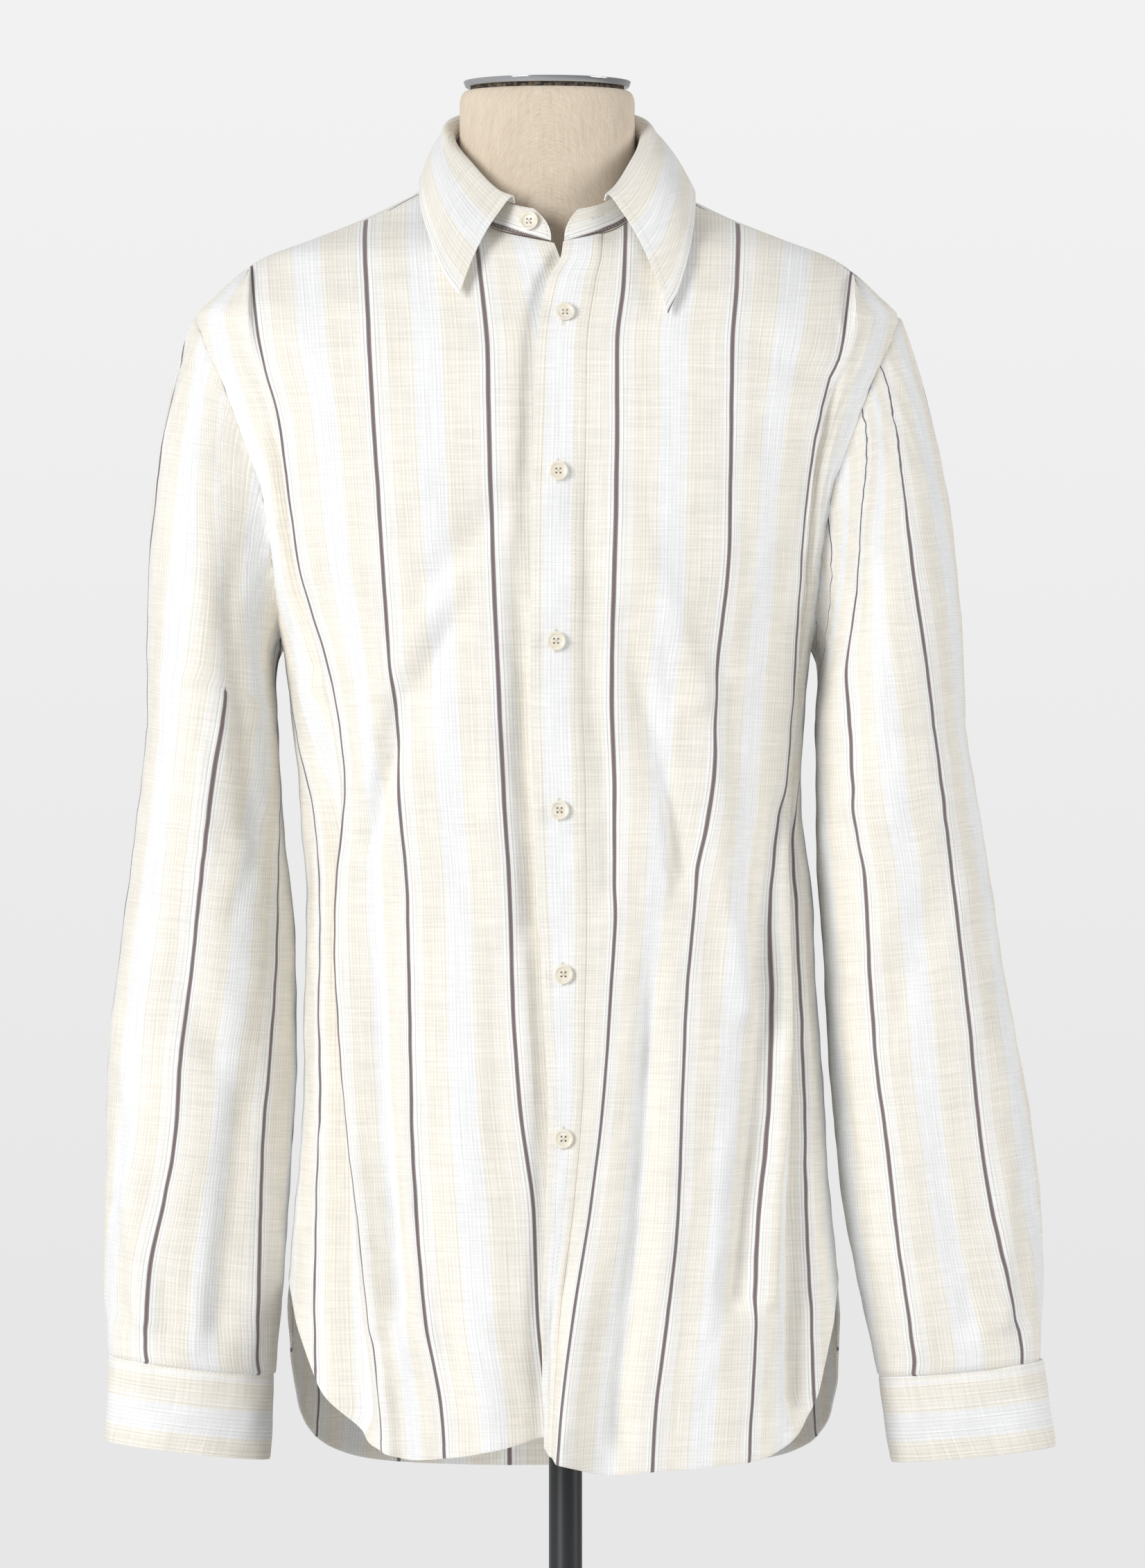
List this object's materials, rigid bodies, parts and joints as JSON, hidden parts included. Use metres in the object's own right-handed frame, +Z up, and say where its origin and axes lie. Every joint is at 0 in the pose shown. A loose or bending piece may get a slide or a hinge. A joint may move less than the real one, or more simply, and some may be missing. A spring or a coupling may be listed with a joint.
{
  "type": "long-sleeve shirt on a dress form",
  "caption": "Long-sleeve button-front shirt with a pointed collar and barrel cuffs, worn on a limbless dress form on a pole and round base.",
  "frame": {"origin": "centre of the round base's underside, on the floor", "axes": "+Z up, the shirt's front faces -Y, +X is the wearer's left"},
  "size_m": [0.5723, 0.3, 1.1428],
  "materials": {
    "striped_cotton": "matt woven cotton, cream with dark, white and pale blue stripes",
    "button_resin": "off-white, satin",
    "linen_cover": "natural linen weave",
    "chrome": "polished",
    "satin_black_steel": "satin black"
  },
  "bodies": {
    "root": {"front_left": "striped_cotton", "front_right": "striped_cotton", "front_placket": "striped_cotton", "back": "striped_cotton", "yoke": "striped_cotton", "sleeve_left": "striped_cotton", "sleeve_right": "striped_cotton", "sleeve_placket_left": "striped_cotton", "sleeve_placket_right": "striped_cotton", "cuff_left": "striped_cotton", "cuff_right": "striped_cotton", "collar_stand": "striped_cotton", "collar_leaf": "striped_cotton", "button_1": "button_resin", "button_2": "button_resin", "button_3": "button_resin", "button_4": "button_resin", "button_5": "button_resin", "button_6": "button_resin", "button_stand": "button_resin", "button_cuff_left": "button_resin", "button_cuff_right": "button_resin", "form_torso": "linen_cover", "neck_cap": "chrome", "form_pole": "satin_black_steel", "form_base": "satin_black_steel"}
  },
  "joints": []
}
